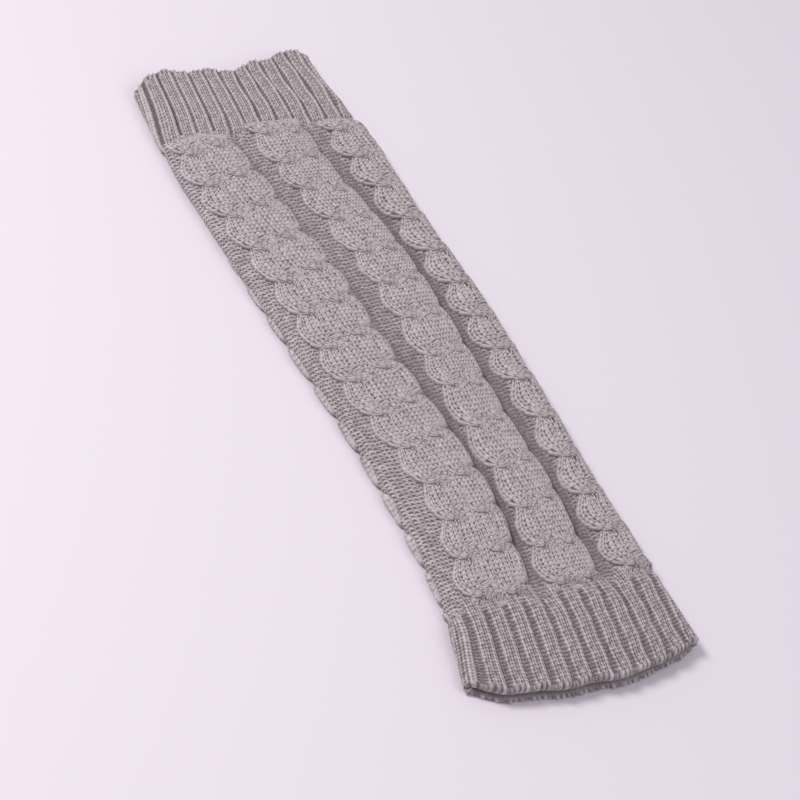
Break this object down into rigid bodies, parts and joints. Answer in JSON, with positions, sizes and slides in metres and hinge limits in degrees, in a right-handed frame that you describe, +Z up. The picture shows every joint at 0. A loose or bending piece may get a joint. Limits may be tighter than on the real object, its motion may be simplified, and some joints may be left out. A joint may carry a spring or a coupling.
{
  "type": "leg warmer",
  "caption": "Cable-knit leg warmer lying flat: an open knitted tube with a narrow-ribbed knee cuff and a wide-ribbed ankle cuff.",
  "frame": {"origin": "middle of the outline, on the surface that the leg warmer lies on", "axes": "+X across the tube, towards the fold that a cable rolls round; +Y along the tube, towards the narrow-ribbed knee cuff; +Z up, off the surface"},
  "size_m": [0.1383, 0.4183, 0.0118],
  "materials": {
    "knee_rib_knit": "narrow-ribbed knit of soft matt acrylic and wool yarn, warm grey",
    "cable_knit": "cable knit of soft matt acrylic and wool yarn, warm grey",
    "ankle_rib_knit": "wide-ribbed knit of soft matt acrylic and wool yarn, warm grey"
  },
  "bodies": {
    "root": {"knee_cuff": "knee_rib_knit", "cable_body": "cable_knit", "ankle_cuff": "ankle_rib_knit"}
  },
  "joints": []
}
